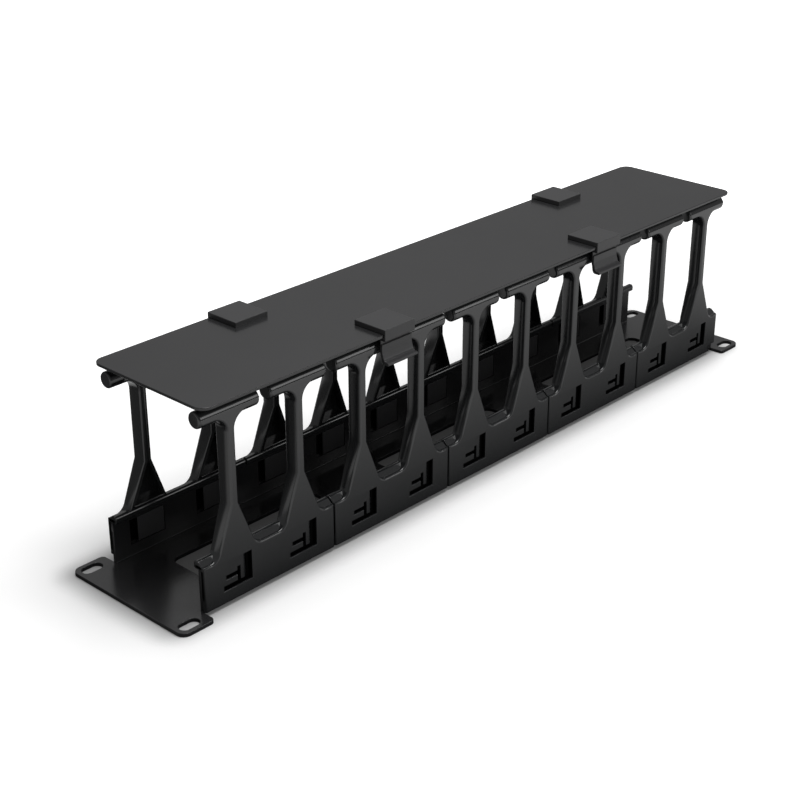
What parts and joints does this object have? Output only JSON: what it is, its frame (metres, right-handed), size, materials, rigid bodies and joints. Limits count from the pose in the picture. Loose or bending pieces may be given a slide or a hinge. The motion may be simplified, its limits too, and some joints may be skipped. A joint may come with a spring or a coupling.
{
  "type": "horizontal cable manager",
  "caption": "Two-unit rack cable duct: bent steel back plate with ears, two rows of moulded plastic fingers and a flat cover clipped on rods so that it hinges open.",
  "frame": {"origin": "middle of the back plate's rear face, where the part lies on its back or meets the rack rails", "axes": "+X along the rack opening's width, +Z out of the rack from the back plate to the cover, +Y across the two rack units"},
  "size_m": [0.4826, 0.0894, 0.115],
  "materials": {
    "coated_steel": "fine-texture black powder coat on steel sheet",
    "finger_plastic": "black moulded polycarbonate blend, satin",
    "clip_plastic": "black extruded plastic, satin"
  },
  "bodies": {
    "base": {"base_plate": "coated_steel", "front_module_1": "finger_plastic", "front_module_2": "finger_plastic", "front_module_3": "finger_plastic", "front_module_4": "finger_plastic", "front_module_5": "finger_plastic", "back_module_1": "finger_plastic", "back_module_2": "finger_plastic", "back_module_3": "finger_plastic", "back_module_4": "finger_plastic", "back_module_5": "finger_plastic"},
    "cover": {"cover_plate": "coated_steel", "front_clip_1": "clip_plastic", "front_clip_2": "clip_plastic", "back_clip_1": "clip_plastic", "back_clip_2": "clip_plastic"}
  },
  "joints": [
    {"name": "cover_hinge", "type": "hinge", "parent": "base", "child": "cover", "pos_m": [0, 0.033, 0.1037], "axis": [-1, 0, 0], "range_deg": [0, 100]}
  ]
}
